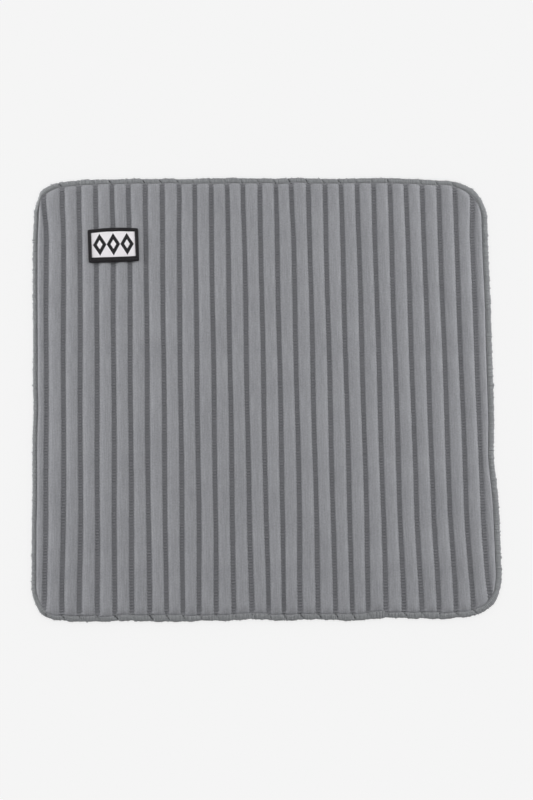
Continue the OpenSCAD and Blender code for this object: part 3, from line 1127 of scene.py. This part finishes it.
def label_plate(across, along, top, bottom):
    """Points and texture places of a closed plate in the label, between two heights."""
    cloth = np.stack([across, along], -1)
    points = there_and_back(label_place(across, along, top), label_place(across, along, bottom))
    return points, shell_faces(*across.shape), there_and_back(cloth, cloth)


# %% Finishes of the label
LABEL_THREAD = 0.45 * MM
WEAVE_RELIEF = (0.06 * MM, 0.5)


def weave_group():
    """Satin weave on a cloth map in metres: two crossed sines of the thread width, multiplied."""
    group, given, made = new_group("satin_weave", [("Thread", "NodeSocketFloat", LABEL_THREAD)],
                                   [("Height", "NodeSocketFloat")])
    _, across, along = cloth_map(group)
    waves = [sine_node(group, math_node(group, "DIVIDE", place, given.outputs["Thread"]), math.pi)
             for place in (across, along)]
    group.links.new(math_node(group, "MULTIPLY", *waves), made.inputs["Height"])
    return group


SATIN_WEAVE = weave_group()


def woven_material(name, light, dark):
    """Woven label cloth between two colours."""
    material, tree, shader, _ = dyed_material(name, light, dark, roughness=0.7, sheen=0.05)
    add_relief(tree, shader, add_group(tree, SATIN_WEAVE), *WEAVE_RELIEF)
    return material


LABEL_WHITE = woven_material("label_white", shade(239, 236, 239), shade(228, 225, 228))
LABEL_BLACK = woven_material("label_black", shade(30, 28, 31), shade(20, 18, 21))
BORDER_THREAD = thread_material("border_thread", shade(32, 30, 33), shade(20, 18, 21), 0.8 * MM)
print("label finishes:", [material.name for material in (LABEL_WHITE, LABEL_BLACK, BORDER_THREAD)])

# %% Label ground
LABEL_COLUMNS, LABEL_ROWS = 61, 41
across, along = np.meshgrid(np.linspace(-1, 1, LABEL_COLUMNS) * LABEL_HALF_X,
                            np.linspace(-1, 1, LABEL_ROWS) * LABEL_HALF_Y)
ground = put_mesh("label_ground", LABEL_BLACK, *label_plate(across, along, LABEL_T, 0), CREASE)
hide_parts("label_base")
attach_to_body(ground, panel(2))
print("label", round(2 * LABEL_HALF_X / MM, 1), "by", round(2 * LABEL_HALF_Y / MM, 1), "mm")

# %% Woven field and lozenges
FIELD_HALF_X, FIELD_HALF_Y = LABEL_HALF_X - 3.0 * MM, LABEL_HALF_Y - 4.2 * MM
FIELD_UP = 0.7 * MM
FIGURE_RISE, FIGURE_SINK, FIGURE_RIM = 0.16 * MM, 0.1 * MM, 12
FIELD_GRID, LOZENGE_GRID = 61, 31
LOZENGE_STEP = 13.4 * MM
LOZENGE_HALF_X, LOZENGE_HALF_Y = 6.6 * MM, 11.0 * MM
HEART_SHARE = 0.42


def woven_patch(grid, middle, half_x, half_y, layer, lozenge):
    """A low closed plate woven into the label: a square grid from -1 to 1 each way, stretched to a rectangle,
    or turned by an eighth into a lozenge. Its top falls at the rim, and layers stand on each other."""
    u, v = np.meshgrid(np.linspace(-1, 1, grid), np.linspace(-1, 1, grid))
    across, along = ((u + v) / 2, (v - u) / 2) if lozenge else (u, v)
    rim = 1 - np.maximum(np.abs(u), np.abs(v)) ** FIGURE_RIM
    return label_plate(middle + half_x * across, FIELD_UP + half_y * along,
                       LABEL_T + FIGURE_RISE * (layer - 1 + rim), LABEL_T - FIGURE_SINK)


places = [-LOZENGE_STEP, 0, LOZENGE_STEP]
heart_x, heart_y = LOZENGE_HALF_X * HEART_SHARE, LOZENGE_HALF_Y * HEART_SHARE
field = [woven_patch(FIELD_GRID, 0, FIELD_HALF_X, FIELD_HALF_Y, 1, False)]
lozenges = [woven_patch(LOZENGE_GRID, at, LOZENGE_HALF_X, LOZENGE_HALF_Y, 2, True) for at in places]
hearts = [woven_patch(LOZENGE_GRID, at, heart_x, heart_y, 3, True) for at in places]
for name, material, parts in (("label_field", LABEL_WHITE, field), ("label_lozenges", LABEL_BLACK, lozenges),
                              ("label_hearts", LABEL_WHITE, hearts)):
    figure = put_mesh(name, material, *joined(*parts))
    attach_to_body(figure, panel(2))

# %% Worked border and its stitches
BORDER_W, BORDER_UP = 3.1 * MM, 0.2 * MM
BORDER_PITCH, BORDER_RADIUS = 0.62 * MM, 0.42 * MM
BORDER_POINTS, BORDER_SIDES = 9, 5
BORDER_SQUARE, BORDER_TURN = 0.45, (0.05, 0.8 * math.pi)
TACK_PITCH, TACK_LENGTH, TACK_RADIUS = 3.2 * MM, 2.4 * MM, 0.28 * MM
TACK_INSET, TACK_UP, TACK_BOW = 0.6 * BORDER_W, 0.45 * MM, 0.25 * MM
LABEL_CORNERS = [1.6 * MM] * 4


def border_loops():
    """Loops of thread over the label's edge: the same squared arc as the overlock, on the label's outline."""
    point, out = rounded_walk(BORDER_PITCH, LABEL_HALF_X, LABEL_HALF_Y, LABEL_CORNERS)
    sine, cosine = squared_arc(np.linspace(*BORDER_TURN, BORDER_POINTS), BORDER_SQUARE)
    flat = point[:, None] - out[:, None] * (BORDER_W * (1 - sine))[:, None]
    paths = label_place(flat[..., 0], flat[..., 1], LABEL_T / 2 + (LABEL_T / 2 + BORDER_UP) * cosine)
    return thread_tubes(paths, in_plane(along_edge(out)), BORDER_RADIUS, BORDER_SIDES)


def border_tacks():
    """Short stitches along the middle of the border, which hold the label to the pad."""
    half_x, half_y = LABEL_HALF_X - TACK_INSET, LABEL_HALF_Y - TACK_INSET
    point, out = rounded_walk(TACK_PITCH, half_x, half_y, LABEL_CORNERS)
    flat, lift = straight_stitches(point, out, TACK_LENGTH)
    paths = label_place(flat[..., 0], flat[..., 1], LABEL_T + TACK_UP + TACK_BOW * lift)
    return thread_tubes(paths, in_plane(out), TACK_RADIUS, STITCH_SIDES)


for name, node, slot, lot in (("label_border_thread", "label_border", "label_border", border_loops()),
                              ("label_tacks", "label_stitching", "label_thread", border_tacks())):
    worked = put_mesh(name, BORDER_THREAD, *lot)
    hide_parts(node)
    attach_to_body(worked, panel(2))

# %% [markdown]
# ## Floor
# The floor is a wide pale sheet. The photograph's background is one even pale grey, which lamps alone would
# not give, so most of the floor's brightness is a glow that only the camera sees. The rest is light from the
# world, and in it the pad's own faint shadow shows.

# %% Make the floor
FLOOR_SIZE = 6.0
FLOOR_GLOW = 0.773


def floor_material():
    """Pale matte floor with a barely visible grain, which glows only for rays that show it directly."""
    material, tree, shader, _ = dyed_material("pale_floor", shade(156, 156, 156), shade(153, 153, 153),
                                              roughness=0.9, sheen=0.0)
    shader.inputs["Specular IOR Level"].default_value = 0.0
    shader.inputs["Emission Color"].default_value = (1, 1, 1, 1)
    glow = math_node(tree, "MULTIPLY", seen_directly(tree), FLOOR_GLOW)
    tree.links.new(glow, shader.inputs["Emission Strength"])
    return material


corner = np.array([[-1, -1, 0], [1, -1, 0], [1, 1, 0], [-1, 1, 0]]) * FLOOR_SIZE / 2
floor = put_mesh("floor", floor_material(), corner, [np.array([[0, 1, 2, 3]])], corner[:, :2])
unlit.objects.link(floor)
unlit.collection_objects[0].light_linking.link_state = "EXCLUDE"
print("floor", FLOOR_SIZE, "m wide")
